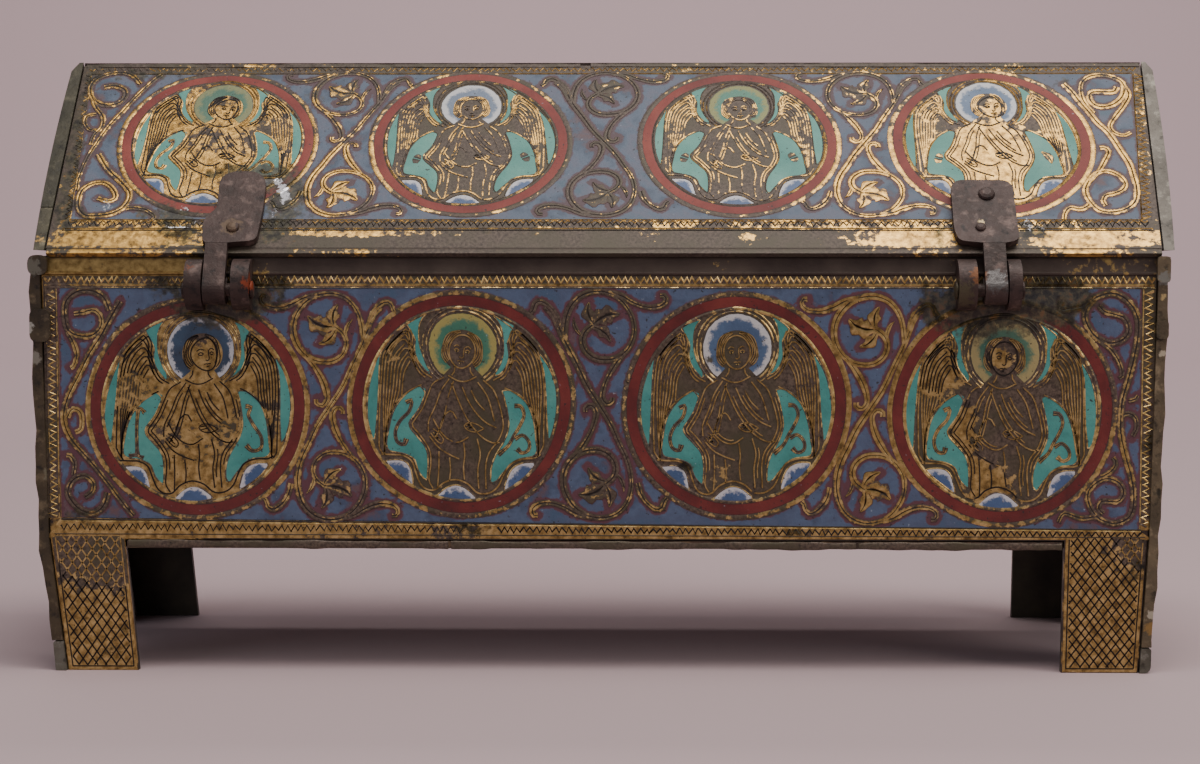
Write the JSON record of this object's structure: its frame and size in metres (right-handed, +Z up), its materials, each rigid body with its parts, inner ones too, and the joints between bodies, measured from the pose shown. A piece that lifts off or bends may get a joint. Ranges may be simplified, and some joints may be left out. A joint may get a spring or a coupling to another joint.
{
  "type": "reliquary casket",
  "caption": "Enamelled copper reliquary casket: a footed rectangular box with a hinged gabled lid, decorated with angel medallions and scrollwork.",
  "frame": {"origin": "on the ground under the middle of the whole casket, soles at Z 0", "axes": "+X along the casket, -Y towards the front with the hinges, +Z up"},
  "size_m": [0.2308, 0.08, 0.1243],
  "materials": {
    "enamelled_copper": "champleve enamel in worn gilt copper",
    "gilt_copper": "worn fire gilding, engraved",
    "enamel": "opaque vitreous enamel, pitted",
    "aged_copper": "brown patinated copper",
    "wrought_iron": "dark wrought iron with traces of rust"
  },
  "bodies": {
    "case": {"front_panel": "enamelled_copper", "back_panel": "enamelled_copper", "left_end_plate": "aged_copper", "right_end_plate": "aged_copper", "floor_plate": "aged_copper", "left_foot_mend": "aged_copper", "right_foot_mend": "aged_copper", "left_hinge_outer_loop": "wrought_iron", "left_hinge_inner_loop": "wrought_iron", "left_hinge_pin": "wrought_iron", "right_hinge_outer_loop": "wrought_iron", "right_hinge_inner_loop": "wrought_iron", "right_hinge_pin": "wrought_iron"},
    "lid": {"lid_front_slope": "enamelled_copper", "lid_back_slope": "enamelled_copper", "lid_left_gable": "aged_copper", "lid_left_gable_mend": "aged_copper", "lid_right_gable": "aged_copper", "left_strap": "wrought_iron", "left_strap_rivet": "wrought_iron", "right_strap": "wrought_iron", "right_strap_upper_rivet": "wrought_iron", "right_strap_lower_rivet": "wrought_iron"}
  },
  "joints": [
    {"name": "lid_hinge", "type": "hinge", "parent": "case", "child": "lid", "pos_m": [-0.00137, -0.03714, 0.0771], "axis": [1, 0, 0], "range_deg": [0, 110]}
  ]
}
